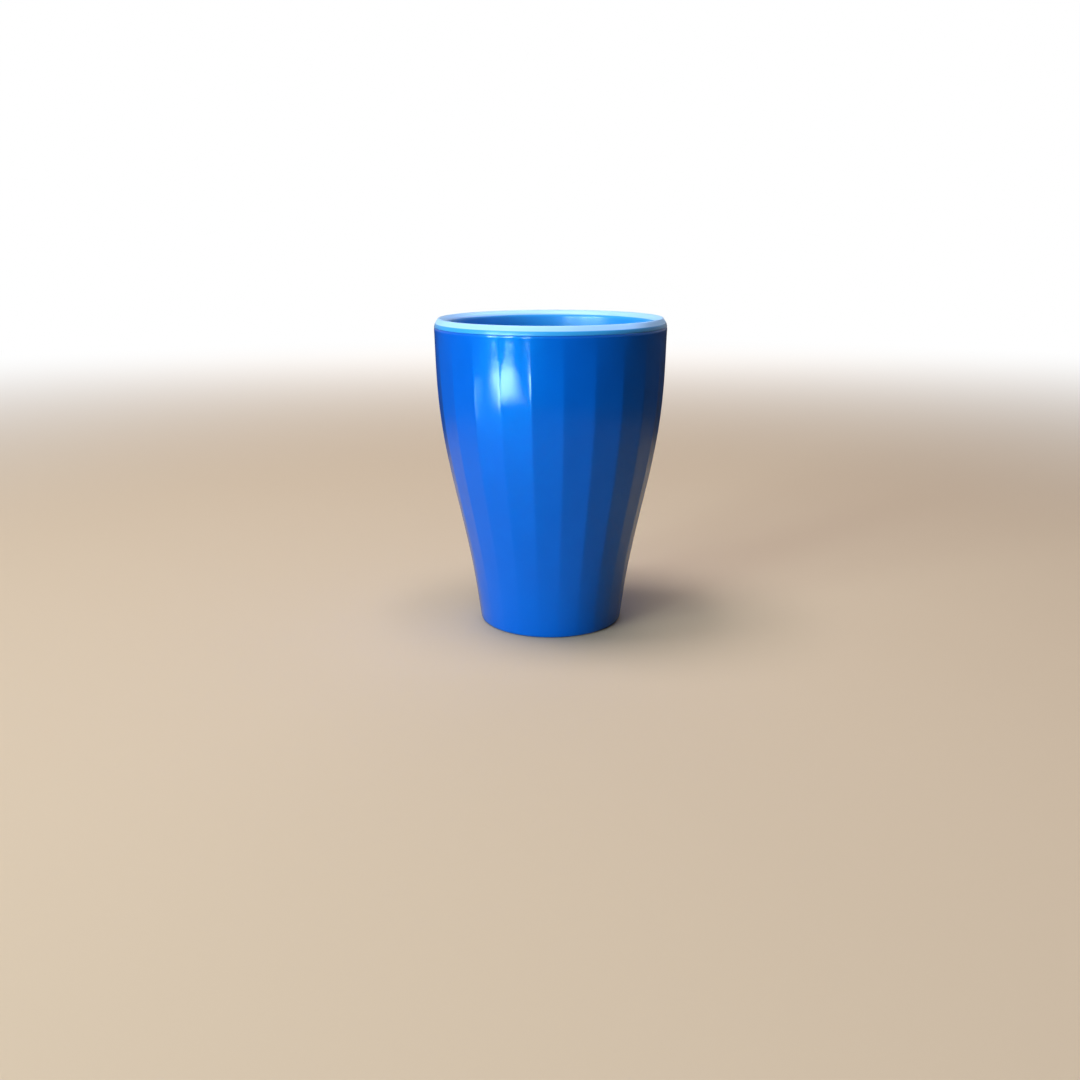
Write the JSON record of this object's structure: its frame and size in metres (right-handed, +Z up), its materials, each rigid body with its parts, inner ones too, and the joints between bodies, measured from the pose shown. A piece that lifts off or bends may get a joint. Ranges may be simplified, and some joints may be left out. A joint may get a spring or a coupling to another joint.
{
  "type": "tea tumbler",
  "caption": "Two-tone moulded tea tumbler: a deep blue outer shell with shallow upright flats and a light blue inner liner whose bevelled lip caps the shell.",
  "frame": {"origin": "centre of the foot ring on the table", "axes": "+Z up along the tumbler's axis; a flat of the outer wall is centred on each of +X, -X, +Y and -Y"},
  "size_m": [0.0666, 0.0666, 0.09],
  "materials": {
    "shell_melamine": "glossy moulded melamine, deep blue",
    "liner_melamine": "glossy moulded melamine, light blue"
  },
  "bodies": {
    "root": {"outer_shell": "shell_melamine", "inner_liner": "liner_melamine"}
  },
  "joints": []
}
